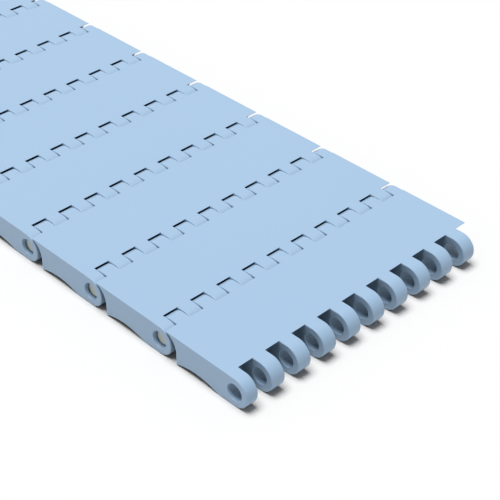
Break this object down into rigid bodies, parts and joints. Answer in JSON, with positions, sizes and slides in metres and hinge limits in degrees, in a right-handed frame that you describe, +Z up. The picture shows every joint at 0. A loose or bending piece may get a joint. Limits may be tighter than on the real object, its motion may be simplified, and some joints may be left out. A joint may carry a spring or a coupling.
{
  "type": "modular plastic conveyor belt",
  "caption": "Straight section of flat-top modular plastic conveyor belt: full-width moulded modules with interleaved round knuckles, joined by plastic hinge rods.",
  "frame": {"origin": "bottom centre of the section as it lies flat, on the plane of the underside", "axes": "+X along the belt towards the end whose knuckles are the front ones of each module, +Y across the belt along the hinge axes, +Z up out of the carrying surface"},
  "size_m": [0.566, 0.1642, 0.016],
  "materials": {
    "module_plastic": "light blue moulded acetal, satin",
    "rod_plastic": "off-white extruded rod, satin"
  },
  "bodies": {
    "row_01": {"module_01": "module_plastic", "rod_01": "rod_plastic"},
    "row_02": {"module_02": "module_plastic", "rod_02": "rod_plastic"},
    "row_03": {"module_03": "module_plastic", "rod_03": "rod_plastic"},
    "row_04": {"module_04": "module_plastic", "rod_04": "rod_plastic"},
    "row_05": {"module_05": "module_plastic", "rod_05": "rod_plastic"},
    "row_06": {"module_06": "module_plastic", "rod_06": "rod_plastic"},
    "row_07": {"module_07": "module_plastic", "rod_07": "rod_plastic"},
    "row_08": {"module_08": "module_plastic", "rod_08": "rod_plastic"},
    "row_09": {"module_09": "module_plastic", "rod_09": "rod_plastic"},
    "row_10": {"module_10": "module_plastic", "rod_10": "rod_plastic"},
    "row_11": {"module_11": "module_plastic"}
  },
  "joints": [
    {"name": "hinge_01", "type": "hinge", "parent": "row_02", "child": "row_01", "pos_m": [0.225, 0, 0.008], "axis": [0, 1, 0], "range_deg": [-20, 30]},
    {"name": "hinge_02", "type": "hinge", "parent": "row_03", "child": "row_02", "pos_m": [0.175, 0, 0.008], "axis": [0, 1, 0], "range_deg": [-20, 30]},
    {"name": "hinge_03", "type": "hinge", "parent": "row_04", "child": "row_03", "pos_m": [0.125, 0, 0.008], "axis": [0, 1, 0], "range_deg": [-20, 30]},
    {"name": "hinge_04", "type": "hinge", "parent": "row_05", "child": "row_04", "pos_m": [0.075, 0, 0.008], "axis": [0, 1, 0], "range_deg": [-20, 30]},
    {"name": "hinge_05", "type": "hinge", "parent": "row_06", "child": "row_05", "pos_m": [0.025, 0, 0.008], "axis": [0, 1, 0], "range_deg": [-20, 30]},
    {"name": "hinge_06", "type": "hinge", "parent": "row_06", "child": "row_07", "pos_m": [-0.025, 0, 0.008], "axis": [0, -1, 0], "range_deg": [-20, 30]},
    {"name": "hinge_07", "type": "hinge", "parent": "row_07", "child": "row_08", "pos_m": [-0.075, 0, 0.008], "axis": [0, -1, 0], "range_deg": [-20, 30]},
    {"name": "hinge_08", "type": "hinge", "parent": "row_08", "child": "row_09", "pos_m": [-0.125, 0, 0.008], "axis": [0, -1, 0], "range_deg": [-20, 30]},
    {"name": "hinge_09", "type": "hinge", "parent": "row_09", "child": "row_10", "pos_m": [-0.175, 0, 0.008], "axis": [0, -1, 0], "range_deg": [-20, 30]},
    {"name": "hinge_10", "type": "hinge", "parent": "row_10", "child": "row_11", "pos_m": [-0.225, 0, 0.008], "axis": [0, -1, 0], "range_deg": [-20, 30]}
  ]
}
